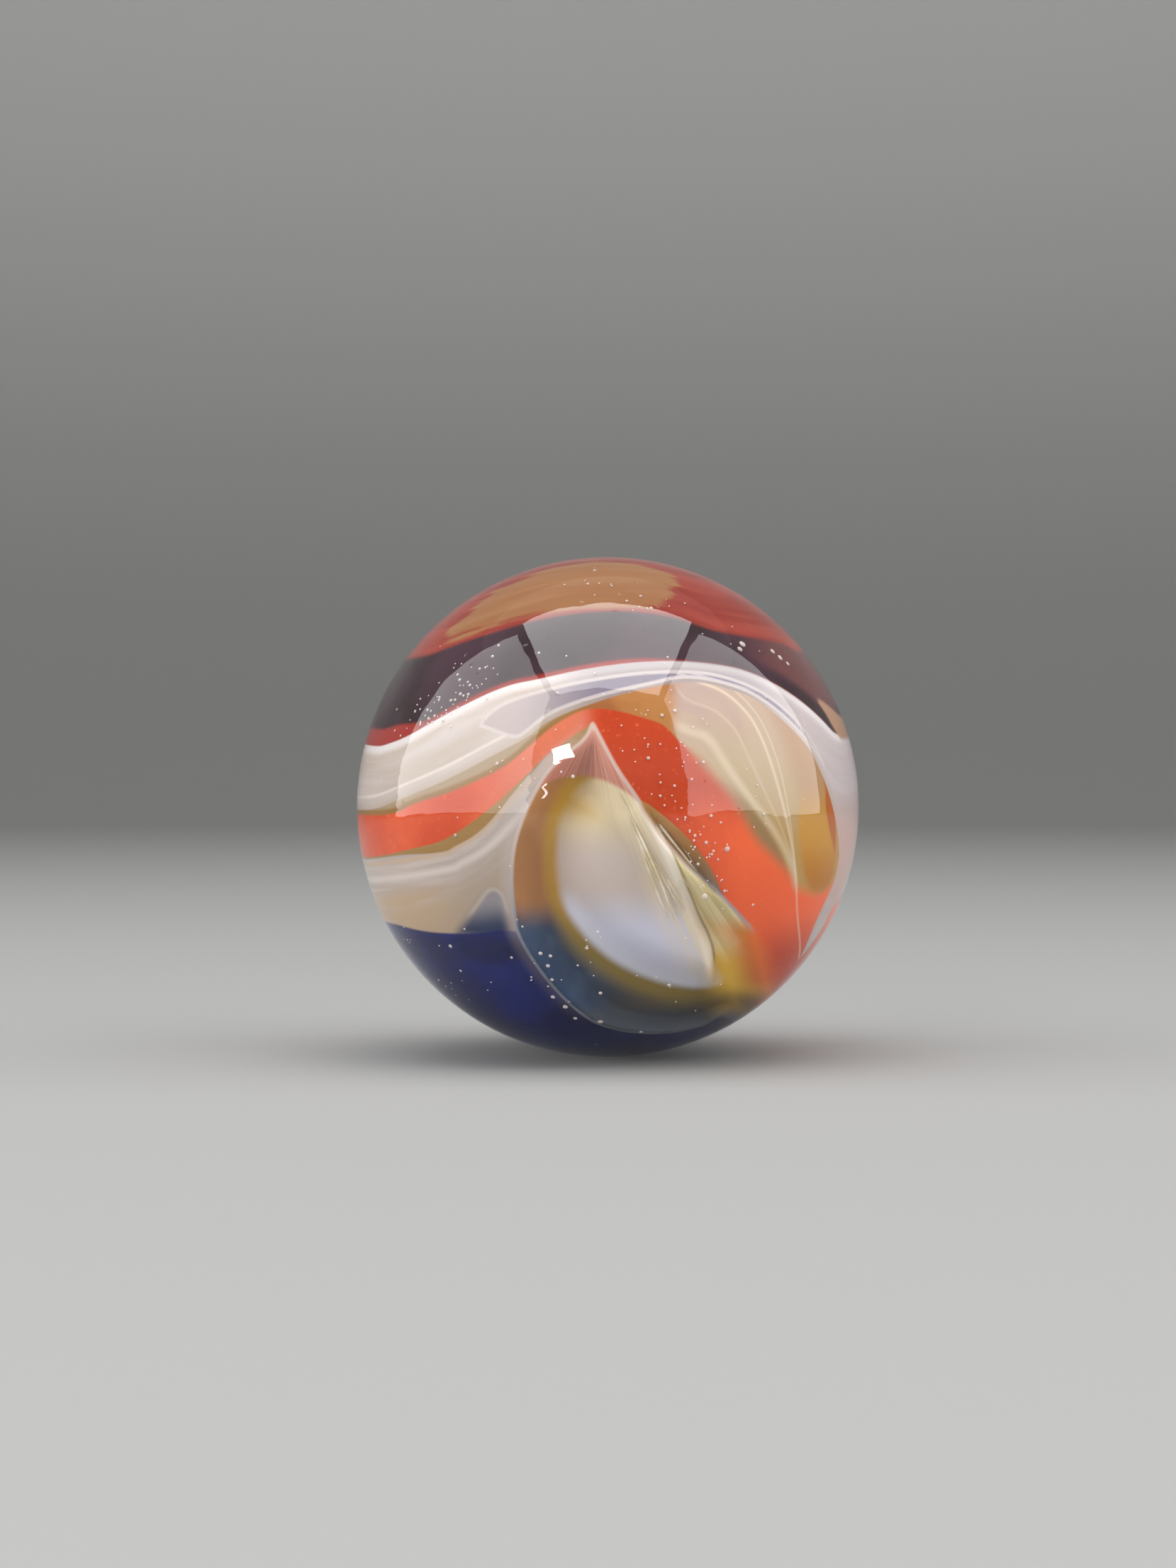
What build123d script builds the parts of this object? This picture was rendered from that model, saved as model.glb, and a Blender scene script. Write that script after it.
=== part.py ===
"""A one-inch swirl marble: one lump of glass, rolled round while it was hot.

It is a single solid, so there is one node. The ball is a hair flatter from pole to pole than it is round
its girth, as rolled marbles are. The origin is the ball's centre and +Z runs up through its poles.
"""

from build123d import *
import os

# Driving dimensions, in millimetres
GIRTH_DIAMETER = 25.4  # across the widest part, seen from above
POLE_TO_POLE = 25.3  # from the lowest point to the highest

# A true ball of the girth's size, then drawn in towards its middle along the axis through the poles
with BuildPart() as marble:
    Sphere(GIRTH_DIAMETER / 2)
    scale(by=(1, 1, POLE_TO_POLE / GIRTH_DIAMETER))
marble.part.label = "marble"

os.makedirs("parts", exist_ok=True)
export_step(marble.part, "parts/marble.step")
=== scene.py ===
"""A swirled glass marble: opaque and opal streams, and clear coloured glass with depth, under a clear skin.

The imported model's solid is the marble's outer surface, and here it becomes the clear skin. Under it lie the
streams, as one closed body whose surface dips deep where the glass is clear. The swirl is laid out on a ball
of radius 1: front(u, v) is where a look from the front meets it, u to the right and v up from its middle,
and rear(u, v) is the same on the far side, as seen from behind.
"""

import math

import bpy
import numpy as np
from mathutils import Matrix, Vector


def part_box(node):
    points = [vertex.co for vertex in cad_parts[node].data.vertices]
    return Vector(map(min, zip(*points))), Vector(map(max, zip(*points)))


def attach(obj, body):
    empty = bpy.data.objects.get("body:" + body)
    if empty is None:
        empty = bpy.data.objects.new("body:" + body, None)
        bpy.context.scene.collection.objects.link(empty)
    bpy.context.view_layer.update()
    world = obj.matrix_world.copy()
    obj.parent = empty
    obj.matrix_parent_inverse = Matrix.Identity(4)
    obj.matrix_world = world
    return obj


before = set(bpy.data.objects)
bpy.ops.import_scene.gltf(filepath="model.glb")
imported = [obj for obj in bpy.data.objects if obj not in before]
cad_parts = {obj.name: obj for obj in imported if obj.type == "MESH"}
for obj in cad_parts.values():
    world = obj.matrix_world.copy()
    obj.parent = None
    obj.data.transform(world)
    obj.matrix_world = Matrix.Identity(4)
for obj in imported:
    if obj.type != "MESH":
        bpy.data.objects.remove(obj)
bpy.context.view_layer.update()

corner_low, corner_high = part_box("marble")
FOOT = corner_low.z  # the height of the ball's lowest point, where the floor is
RADIUS = (corner_high.x - corner_low.x) / 2
FLATNESS = (corner_high.z - corner_low.z) / (corner_high.x - corner_low.x)  # height as a share of the girth

# How the ball is looked at from the front
CAMERA_RISE = math.radians(1.0)  # the camera's height above the ball's middle, as an angle
CAMERA_REACH = 12.15  # its distance from the middle, in radii
LENS = 69.8  # millimetres, with 36 mm along the picture's long side
SHIFT = (-0.0126, 0.0146)  # the ball sits a little right of and below the picture's middle
RIM_SLOPE = 1 / math.sqrt(CAMERA_REACH**2 - 1)  # of a line of sight that just grazes the ball
GLASS_IOR = 1.6

# How far under the skin the streams lie, in radii
STREAM_DEPTH = 0.014
WINDOW_DEPTH = 0.15  # how much deeper the clear window's floor is
WINDOW_FILL = 0.7  # the share of that depth which fills up at the window's lower right
BOWL_RISE = 0.07  # how far the opal bowl stands up from the window's floor
SLIT_DEPTH = 0.06
COBALT_DEPTH = 0.07

STREAM_CELLS = 128  # the streams' mesh has six square faces with this many quads along each side
BUBBLE_CELLS = 3  # and so has each bubble's

CRISP = 0.004  # half the blur of a sharp edge, in radii
LOOSE = 0.09  # what a soft edge adds to that
PEAK_U, PEAK_V = -0.056, 0.322  # the window's pointed top, from which its streaks and threads fan out


# ---------------------------------------------------------------- places on the ball


def tilted(x, y, z):
    """A direction given to someone who looks level, turned to suit a camera that looks down a little."""
    return (
        x,
        y * math.cos(CAMERA_RISE) + z * math.sin(CAMERA_RISE),
        z * math.cos(CAMERA_RISE) - y * math.sin(CAMERA_RISE),
    )


def front(u, v):
    """The direction of the point on the near side that shows at u, v."""
    reach = math.hypot(u, v)
    if reach == 0:
        return tilted(0, -1, 0)
    sight = math.atan(reach * RIM_SLOPE)
    turn = math.asin(min(1.0, CAMERA_REACH * math.sin(sight))) - sight
    side = math.sin(turn) / reach
    return tilted(u * side, -math.cos(turn), v * side)


def rear(u, v):
    """The direction of the point on the far side that shows at u, v from behind."""
    return tilted(-u, math.sqrt(max(0.0, 1 - u * u - v * v)), v)


def seen(directions):
    """u and v of each direction: front() the other way round."""
    d = np.asarray(directions, float)
    eye = np.array(tilted(0, -1, 0))
    up = np.array(tilted(0, 0, 1))
    near = np.maximum(CAMERA_REACH - d @ eye, 1e-6)
    return d[:, 0] / near / RIM_SLOPE, (d @ up) / near / RIM_SLOPE


STEPS = 6  # places on a smooth line for each point that it is given


def smooth_line(points):
    """A Catmull-Rom line over the unit ball through these directions."""
    p = np.array(points, float)
    ends = np.vstack([2 * p[0] - p[1], p, 2 * p[-1] - p[-2]])
    t = np.linspace(0, 1, STEPS, endpoint=False)[:, None]
    line = []
    for a, b, c, d in zip(ends, ends[1:], ends[2:], ends[3:]):
        bend = (2 * a - 5 * b + 4 * c - d) * t**2 + (3 * b - a - 3 * c + d) * t**3
        line.append(b + ((c - a) * t + bend) / 2)
    line = np.vstack(line + [p[-1:]])
    return line / np.linalg.norm(line, axis=1, keepdims=True)


def outline(*stretches):
    """A closed line: each stretch is smooth, and they meet end to end at corners."""
    line = np.vstack([smooth_line(stretch)[:-1] for stretch in stretches])
    return np.vstack([line, smooth_line(stretches[-1])[-1:]])


def ring(*points):
    """A closed line that is smooth all the way round."""
    line = smooth_line(points[-2:] + points + points[:2])
    return line[2 * STEPS : -STEPS]


def chart(directions):
    """The ball laid flat from the middle of its far side, which goes to infinity."""
    d = np.asarray(directions, float)
    gap = np.maximum(1 - d[..., 1], 1e-6)
    return d[..., 0] / gap, d[..., 2] / gap


def crossings(line, directions):
    """True for each direction that lies inside the closed line in the chart."""
    x, y = chart(directions)
    line_x, line_y = chart(line)
    inside = np.zeros(len(x), bool)
    for x0, y0, x1, y1 in zip(line_x, line_y, line_x[1:], line_y[1:]):
        if y0 == y1:
            continue
        span = (y0 > y) != (y1 > y)
        inside ^= span & (x < x0 + (y - y0) * (x1 - x0) / (y1 - y0))
    return inside


def nearest(line, directions):
    """How far each direction is from a line, and 1 for those on its left, as it runs, or -1."""
    p = np.asarray(directions, float)
    least = np.full(len(p), 4.0)  # squared, and nothing on the ball is further apart
    side = np.ones(len(p))
    for a, b in zip(line, line[1:]):
        along = b - a
        length = along @ along
        if length < 1e-12:
            continue
        share = np.clip(((p - a) @ along) / length, 0, 1)
        off = p - a - share[:, None] * along
        gap = np.einsum("ij,ij->i", off, off)
        closer = gap < least
        least = np.where(closer, gap, least)
        side = np.where(closer, np.sign(p @ np.cross(a, b)), side)
    return np.sqrt(least), side


def across(line, directions):
    """Distance from an open line, above 0 on its left."""
    gap, side = nearest(line, directions)
    return side * gap


def signed(line, directions, inside):
    """Distance from a closed line, above 0 on the side where the direction `inside` lies."""
    gap, _ = nearest(line, directions)
    within = crossings(line, directions)
    if not crossings(line, np.array([inside]))[0]:
        within = ~within
    return np.where(within, gap, -gap)


def eased(value, low, high):
    """0 below low, 1 above high, smooth between."""
    t = np.clip((np.asarray(value, float) - low) / (high - low), 0, 1)
    return t * t * (3 - 2 * t)


def sunk(directions, radius):
    """The places at this radius that show where these directions meet the skin, through its glass."""
    d = np.asarray(directions, float)
    eye = np.array(tilted(0, -1, 0))
    cosine = np.clip(d @ eye, -1, 1)
    turn = np.arccos(cosine)
    # the angle at which the line of sight meets the skin, eased off past the rim
    meets = turn + np.arctan2(np.sin(turn), CAMERA_REACH - np.cos(turn))
    rim = math.acos(1 / CAMERA_REACH)
    beyond = math.pi / 2 * (math.pi - turn) / (math.pi - rim)
    meets = np.minimum(meets, beyond)
    bent = np.sin(meets) / GLASS_IOR
    moved = np.arcsin(np.clip(bent / radius, -1, 1)) - np.arcsin(bent)
    side = d - cosine[:, None] * eye
    side /= np.maximum(np.linalg.norm(side, axis=1, keepdims=True), 1e-9)
    new = turn + moved
    out = np.cos(new)[:, None] * eye + np.sin(new)[:, None] * side
    return out * np.asarray(radius)[:, None]


def real(places):
    """Places on the unit ball in metres, with the ball's own slight flatness."""
    return np.asarray(places, float) * [RADIUS, RADIUS, RADIUS * FLATNESS]


# ---------------------------------------------------------------- the swirl's lines

TOP = (0.0, 0.0, 1.0)

# Each of these runs right round the ball. Above it, the next glass up begins.
COBALT_TOP = outline(
    [
        front(-0.893, -0.45), front(-0.85, -0.468), front(-0.78, -0.487), front(-0.5, -0.502),
        front(-0.4, -0.495), front(-0.2, -0.52), front(0.1, -0.6), front(0.4, -0.72),
        front(0.6, -0.79), rear(-0.55, -0.78), rear(-0.4, -0.68), rear(-0.1, -0.52),
        rear(0.3, -0.5), rear(0.65, -0.47), front(-0.893, -0.45),
    ]
)
ORANGE_LOW = outline(
    [
        front(-0.975, -0.197), front(-0.92, -0.198), front(-0.8, -0.172), front(-0.65, -0.13),
        front(-0.5, -0.03), front(-0.38, 0.075), front(-0.23, 0.215), front(-0.06, 0.335),
    ],
    [
        front(-0.06, 0.335), front(0.05, 0.05), front(0.2, -0.25), front(0.4, -0.5),
        front(0.56, -0.8), rear(-0.56, -0.78), rear(-0.5, -0.6), rear(-0.35, -0.42),
        rear(0.0, -0.27), rear(0.4, -0.22), rear(0.75, -0.2), front(-0.975, -0.197),
    ],
)
OLIVE_LOW = outline(
    [
        front(-0.977, -0.207), front(-0.7, -0.171), front(-0.62, -0.145), front(-0.5, -0.067),
        front(-0.3, 0.14), front(-0.2, 0.225), front(0.0, 0.1), front(0.2, -0.27),
        front(0.4, -0.52), front(0.55, -0.81), rear(-0.5, -0.8), rear(-0.4, -0.55),
        rear(-0.05, -0.35), rear(0.4, -0.25), rear(0.75, -0.215), front(-0.977, -0.207),
    ]
)
ORANGE_TOP = outline(
    [
        front(-0.99, -0.03), front(-0.87, -0.03), front(-0.77, 0.012), front(-0.6, 0.07),
        front(-0.4, 0.17), front(-0.2, 0.335), front(-0.05, 0.393), front(0.18, 0.345),
        front(0.24, 0.31), front(0.28, 0.27), front(0.47, 0.07), front(0.58, -0.11),
        front(0.63, -0.17), front(0.72, -0.265), front(0.74, -0.31),
    ],
    [
        front(0.74, -0.31), front(0.77, -0.33), front(0.83, -0.345), front(0.87, -0.33),
        front(0.91, -0.29), front(0.96, -0.22), rear(-0.93, -0.2), rear(-0.7, -0.13),
        rear(-0.35, 0.02), rear(-0.1, 0.16), rear(0.2, 0.13), rear(0.5, 0.03),
        rear(0.8, -0.03), front(-0.99, -0.03),
    ],
)
WHITE_LOW = outline(
    [
        front(-0.995, -0.012), front(-0.9, 0.0), front(-0.65, 0.105), front(-0.35, 0.262),
        front(-0.2, 0.36), front(0.3, 0.497), front(0.5, 0.465), front(0.6, 0.42),
        front(0.78, 0.26), front(0.84, 0.16), front(0.92, -0.15), front(0.918, -0.22),
        front(0.9, -0.3), front(0.865, -0.38), front(0.82, -0.48), front(0.765, -0.605),
    ],
    [
        front(0.765, -0.605), front(0.8, -0.565), front(0.86, -0.475), front(0.91, -0.385),
        rear(-0.95, -0.27), rear(-0.8, -0.05), rear(-0.4, 0.15), rear(-0.1, 0.28),
        rear(0.2, 0.25), rear(0.5, 0.12), rear(0.8, 0.01), front(-0.995, -0.012),
    ],
)
WHITE_TOP = outline(
    [
        front(-0.968, 0.25), front(-0.93, 0.243), front(-0.88, 0.25), front(-0.78, 0.292),
        front(-0.6, 0.393), front(-0.4, 0.483), front(-0.2, 0.528), front(0.4, 0.575),
        front(0.6, 0.525), front(0.85, 0.352), front(0.9, 0.3), front(0.925, 0.295),
        front(0.94, 0.33), rear(-0.9, 0.38), rear(-0.6, 0.45), rear(-0.2, 0.5),
        rear(0.2, 0.42), rear(0.6, 0.33), rear(0.9, 0.26), front(-0.968, 0.25),
    ]
)
CAP_LOW = outline(
    [
        front(-0.803, 0.588), front(-0.75, 0.6), front(-0.68, 0.618), front(-0.5, 0.683),
        front(-0.3, 0.742), front(0.2, 0.77), front(0.4, 0.712), front(0.5, 0.69),
        front(0.6, 0.672), front(0.7, 0.652), front(0.765, 0.622), rear(-0.75, 0.6),
        rear(-0.5, 0.6), rear(-0.1, 0.7), rear(0.3, 0.72), rear(0.6, 0.66),
        front(-0.803, 0.588),
    ]
)

# Smaller fields, each a patch with an edge of its own
TAN_PATCH = ring(
    front(-0.63, 0.675), front(-0.5, 0.7), front(-0.35, 0.745), front(0.0, 0.785),
    front(0.2, 0.79), front(0.27, 0.85), front(0.25, 0.92), front(0.1, 0.97),
    front(-0.05, 0.985), front(-0.2, 0.96), front(-0.35, 0.908), front(-0.45, 0.86),
    front(-0.53, 0.795), front(-0.6, 0.735),
)
POCKET = outline(
    [
        front(-0.505, 0.325), front(-0.49, 0.352), front(-0.4, 0.417), front(-0.1, 0.5),
        front(0.3, 0.54), front(0.45, 0.522), front(0.6, 0.465), front(0.72, 0.375),
        front(0.8, 0.28), front(0.86, 0.17),
    ],
    [
        front(0.86, 0.17), front(0.78, 0.285), front(0.6, 0.44), front(0.45, 0.5),
        front(0.3, 0.52), front(0.15, 0.49), front(-0.2, 0.39), front(-0.33, 0.3),
        front(-0.38, 0.283), front(-0.505, 0.325),
    ],
)
SMOKY_SLIT = outline(
    [
        front(0.12, 0.03), front(0.17, 0.005), front(0.3, -0.105), front(0.4, -0.23),
        front(0.465, -0.37),
    ],
    [
        front(0.465, -0.37), front(0.42, -0.36), front(0.35, -0.3), front(0.2, -0.14),
        front(0.12, 0.03),
    ],
)
GOLD_LENS = ring(
    front(0.76, 0.02), front(0.757, -0.08), front(0.765, -0.18), front(0.78, -0.27),
    front(0.8, -0.325), front(0.83, -0.347), front(0.87, -0.33), front(0.9, -0.27),
    front(0.912, -0.17), front(0.905, -0.05), front(0.885, 0.08), front(0.84, 0.13),
    front(0.79, 0.1),
)
RUST_STRIPE = outline(
    [
        front(0.79, 0.31), front(0.88, 0.12), front(0.905, -0.2),
    ],
    [
        front(0.905, -0.2), front(0.885, -0.1), front(0.868, 0.0), front(0.862, 0.1),
        front(0.79, 0.31),
    ],
)
WINDOW = outline(
    [
        front(-0.06, 0.335), front(-0.1, 0.265), front(-0.25, 0.125), front(-0.37, -0.15),
        front(-0.372, -0.42), front(-0.33, -0.56), front(-0.1, -0.83), front(0.03, -0.888),
        front(0.22, -0.905), front(0.38, -0.875), front(0.46, -0.85), rear(-0.5, -0.83),
        front(0.63, -0.76), front(0.62, -0.68), front(0.585, -0.54), front(0.565, -0.48),
        front(0.42, -0.325), front(0.3, -0.22), front(0.155, -0.04), front(0.12, 0.03),
        front(0.03, 0.165), front(-0.06, 0.335),
    ],
)
BOWL = ring(
    front(-0.16, 0.01), front(-0.2, -0.12), front(-0.185, -0.35), front(-0.11, -0.49),
    front(0.02, -0.61), front(0.2, -0.695), front(0.4, -0.72), front(0.47, -0.69),
    front(0.5, -0.62), front(0.48, -0.52), front(0.3, -0.12), front(0.2, 0.04),
    front(0.1, 0.12), front(0.0, 0.13), front(-0.1, 0.09),
)
BRIGHT_EDGE = smooth_line(
    [
        front(0.0, 0.3), front(0.18, -0.02), front(0.345, -0.4), front(0.4, -0.52),
        front(0.42, -0.62), front(0.39, -0.86), front(0.36, -0.93),
    ]
)
GREY_WEDGE = outline(
    [
        front(-0.6, -0.505), front(-0.515, -0.385), front(-0.475, -0.335), front(-0.44, -0.335),
        front(-0.41, -0.38), front(-0.37, -0.53),
    ],
    [front(-0.37, -0.53), front(-0.5, -0.52), front(-0.6, -0.505)],
)
TAN_WEDGE = ring(
    front(0.84, 0.43), front(0.87, 0.37), front(0.91, 0.3), front(0.94, 0.27),
    rear(-0.95, 0.3), rear(-0.85, 0.4), front(0.93, 0.36),
)
STREAM_ARC = smooth_line(
    [
        front(0.36, 0.5), front(0.46, 0.46), front(0.55, 0.38), front(0.61, 0.28),
        front(0.7, 0.0), front(0.75, -0.3), front(0.757, -0.45), front(0.762, -0.6),
    ]
)


# ---------------------------------------------------------------- colours

# Each glass's colour, as linear red, green and blue
COLOURS = {
    "cobalt": (0.0, 0.002, 0.07),
    "cobalt lit": (0.002, 0.012, 0.17),
    "cream": (0.42, 0.35, 0.31),
    "fawn": (0.5, 0.35, 0.22),
    "cream streak": (0.52, 0.43, 0.38),
    "cream line": (0.6, 0.52, 0.48),
    "fawn line": (0.5, 0.36, 0.26),
    "dull cream": (0.33, 0.28, 0.24),
    "wedge grey": (0.26, 0.24, 0.26),
    "wedge blue": (0.02, 0.035, 0.09),
    "wedge fold": (0.52, 0.43, 0.37),
    "olive edge": (0.25, 0.13, 0.03),
    "olive edge lit": (0.4, 0.24, 0.09),
    "orange": (0.56, 0.06, 0.014),
    "orange lit": (0.72, 0.1, 0.028),
    "deep orange": (0.4, 0.035, 0.008),
    "pink orange": (0.62, 0.19, 0.11),
    # partly painted light: the orange's brighter tone low on the right
    "bright orange with painted light": (0.86, 0.12, 0.03),
    # partly painted shade: the orange's darker tone at the bottom right
    "low orange with painted shade": (0.42, 0.025, 0.0),
    "orange grain": (0.85, 0.2, 0.08),
    "dark flow": (0.42, 0.03, 0.008),
    "pale flow": (0.78, 0.2, 0.05),
    "pale line": (0.72, 0.4, 0.28),
    "strip edge": (0.28, 0.15, 0.05),
    "tan strip": (0.36, 0.26, 0.16),
    "caramel": (0.3, 0.1, 0.03),
    "caramel lit": (0.4, 0.17, 0.05),
    "pink peach": (0.38, 0.255, 0.21),
    "peach": (0.42, 0.305, 0.16),
    "peach streak": (0.44, 0.32, 0.21),
    "amber peach": (0.37, 0.2, 0.1),
    "low peach": (0.42, 0.24, 0.05),
    "smoky peach": (0.27, 0.16, 0.065),
    "veil": (0.66, 0.54, 0.4),
    "gold": (0.5, 0.24, 0.03),
    "deep gold": (0.42, 0.15, 0.005),
    "rust stripe": (0.4, 0.11, 0.025),
    "white": (0.46, 0.38, 0.32),
    "white streak": (0.52, 0.45, 0.42),
    "lilac white": (0.47, 0.41, 0.46),
    "bright white": (0.66, 0.61, 0.6),
    "white line": (0.68, 0.6, 0.55),
    "white foot": (0.42, 0.33, 0.26),
    "pink white": (0.5, 0.33, 0.29),
    "brown wisp": (0.4, 0.29, 0.25),
    "pale wisp": (0.6, 0.55, 0.58),
    "plum shade": (0.06, 0.03, 0.05),
    "pocket grey": (0.43, 0.36, 0.35),
    "pocket lavender": (0.2, 0.17, 0.22),
    "pocket rim": (0.58, 0.51, 0.49),
    "red line": (0.28, 0.025, 0.018),
    "oxblood": (0.02, 0.008, 0.011),
    "oxblood lit": (0.045, 0.02, 0.03),
    "plum streak": (0.13, 0.035, 0.045),
    "red brown": (0.11, 0.035, 0.035),
    "tan wedge": (0.36, 0.2, 0.12),
    "rust": (0.2, 0.022, 0.013),
    "rust lit": (0.27, 0.04, 0.026),
    "tan": (0.24, 0.1, 0.038),
    "tan lit": (0.27, 0.125, 0.052),
    "smoke": (0.5, 0.26, 0.085),
    "smoke dark": (0.4, 0.19, 0.05),
    "grey smoke": (0.26, 0.18, 0.12),
    "amber": (0.46, 0.21, 0.08),
    "amber dark": (0.38, 0.17, 0.06),
    "steel": (0.025, 0.05, 0.11),
    "steel lit": (0.06, 0.095, 0.16),
    "olive glass": (0.16, 0.12, 0.045),
    "slate glass": (0.06, 0.07, 0.09),
    "gold glow": (0.56, 0.32, 0.045),
    "olive glow": (0.33, 0.22, 0.04),
    "opal": (0.58, 0.48, 0.43),
    "blue opal": (0.66, 0.66, 0.8),
    "gold opal": (0.66, 0.54, 0.34),
    "combed opal": (0.86, 0.72, 0.5),
    "bright edge": (0.95, 0.84, 0.7),
    "opal lip": (0.78, 0.78, 0.88),
    "green silk": (0.66, 0.52, 0.24),
    "green silk lit": (0.84, 0.72, 0.42),
    "low gold": (0.84, 0.5, 0.055),
    "dark olive": (0.2, 0.12, 0.015),
    "low rust": (0.72, 0.2, 0.015),
    "crack": (0.25, 0.16, 0.04),
    "peak red": (0.55, 0.2, 0.14),
    "peak pink": (0.62, 0.33, 0.26),
    "film": (0.62, 0.5, 0.44),
    "low film": (0.3, 0.32, 0.38),
    "film veil": (0.5, 0.42, 0.4),
    "thread": (0.62, 0.5, 0.3),
    "thread lit": (0.85, 0.76, 0.6),
    # painted glint: the bubbles' pale colours stand in for the light that bubbles reflect
    "bubble": (0.7, 0.6, 0.56),
    "bright bubble glint": (0.95, 0.88, 0.84),
    "floor": (0.31, 0.31, 0.306),
    "backdrop": (0.7, 0.7, 0.69),
}


class Paint:
    """One material's nodes, under short names. A value is a number, or a node's output."""

    def __init__(self, name):
        self.material = bpy.data.materials.new(name)
        self.material.use_nodes = True
        self.tree = self.material.node_tree
        self.shader = self.tree.nodes["Principled BSDF"]
        self.output = self.tree.nodes["Material Output"]

    def feed(self, socket, value):
        if isinstance(value, bpy.types.NodeSocket):
            self.tree.links.new(value, socket)
        else:
            socket.default_value = value

    def node(self, kind, values=(), **settings):
        made = self.tree.nodes.new(kind)
        for key, value in settings.items():
            setattr(made, key, value)
        for socket, value in dict(values).items():
            self.feed(made.inputs[socket], value)
        return made

    def math(self, operation, a, b=0.0):
        return self.node("ShaderNodeMath", {0: a, 1: b}, operation=operation).outputs[0]

    def product(self, first, *others):
        for other in others:
            first = self.math("MULTIPLY", first, other)
        return first

    def field(self, name):
        """A number that is kept at each point of the mesh."""
        return self.node("ShaderNodeAttribute", attribute_name=name).outputs["Fac"]

    def ramp(self, value, low, high, start=0.0, end=1.0):
        """start where value is at low, end where it is at high, smooth between."""
        values = {"Value": value, "From Min": low, "From Max": high, "To Min": start, "To Max": end}
        made = self.node("ShaderNodeMapRange", values, interpolation_type="SMOOTHSTEP")
        return made.outputs["Result"]

    def near(self, value, width, core=0.0, most=1.0):
        """most where value is within core of 0, falling to 0 where it is width away."""
        return self.ramp(self.math("ABSOLUTE", value), width, core, 0.0, most)

    def mix(self, share, a, b):
        """From a to b by share. Each of them is a colour's name, or a node's output."""
        made = self.tree.nodes.new("ShaderNodeMix")
        made.data_type = "RGBA"
        for place, value in ((0, share), (6, a), (7, b)):
            if isinstance(value, str):
                value = (*COLOURS[value], 1.0)
            self.feed(made.inputs[place], value)
        return made.outputs[2]

    def spot(self):
        """The place on the ball, in radii."""
        place = self.node("ShaderNodeTexCoord").outputs["Object"]
        values = {0: place, 1: (1 / RADIUS, 1 / RADIUS, 1 / RADIUS)}
        return self.node("ShaderNodeVectorMath", values, operation="MULTIPLY").outputs[0]

    def noise(self, vector, scale, detail=3.0, rough=0.5, warp=0.0):
        values = {
            "Vector": vector,
            "Scale": scale,
            "Detail": detail,
            "Roughness": rough,
            "Distortion": warp,
        }
        return self.node("ShaderNodeTexNoise", values).outputs["Fac"]

    def streaks(self, off_line, fineness, wander):
        """Noise drawn out along a line: fine across it, long beside it. off_line is the distance from it."""
        place = self.node("ShaderNodeSeparateXYZ", {0: self.spot()}).outputs
        drawn = {
            0: self.product(off_line, fineness),
            1: self.product(place[0], wander),
            2: self.product(place[2], wander),
        }
        vector = self.node("ShaderNodeCombineXYZ", drawn).outputs[0]
        return self.noise(vector, 1.0, 4.0, 0.55, 0.3)


# ---------------------------------------------------------------- meshes


def quad_ball(cells):
    """A ball of quads with no poles: six square faces blown round. Returns directions and faces."""
    angle = np.linspace(-math.pi / 4, math.pi / 4, cells + 1)
    a, b = np.meshgrid(np.tan(angle), np.tan(angle), indexing="ij")
    one = np.ones_like(a)
    sides = [
        (one, a, b),
        (-one, b, a),
        (b, one, a),
        (a, -one, b),
        (a, b, one),
        (b, a, -one),
    ]
    points = np.vstack([np.stack(side, -1).reshape(-1, 3) for side in sides])
    points /= np.linalg.norm(points, axis=1, keepdims=True)
    corner = np.arange(cells)[:, None] * (cells + 1) + np.arange(cells)[None, :]
    corner = corner.ravel()
    quad = np.stack([corner, corner + cells + 1, corner + cells + 2, corner + 1], -1)
    count = (cells + 1) ** 2
    quads = np.vstack([quad + side * count for side in range(len(sides))])
    _, keep, where = np.unique(np.round(points, 6), axis=0, return_index=True, return_inverse=True)
    return points[keep], where.ravel()[quads]


def tube_faces(loops, sides):
    """The quads between loops of points, each loop with this many sides."""
    faces = []
    for i in range(loops - 1):
        for k in range(sides):
            here, beside = i * sides + k, i * sides + (k + 1) % sides
            faces.append((here, beside, beside + sides, here + sides))
    return faces


def mesh_object(name, places, faces):
    """A piece of the marble, with this mesh."""
    mesh = bpy.data.meshes.new(name)
    mesh.from_pydata([tuple(p) for p in places], [], [tuple(int(i) for i in f) for f in faces])
    mesh.shade_smooth()
    piece = bpy.data.objects.new(name, mesh)
    bpy.context.scene.collection.objects.link(piece)
    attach(piece, "root")
    return piece


# ---------------------------------------------------------------- the streams


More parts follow.
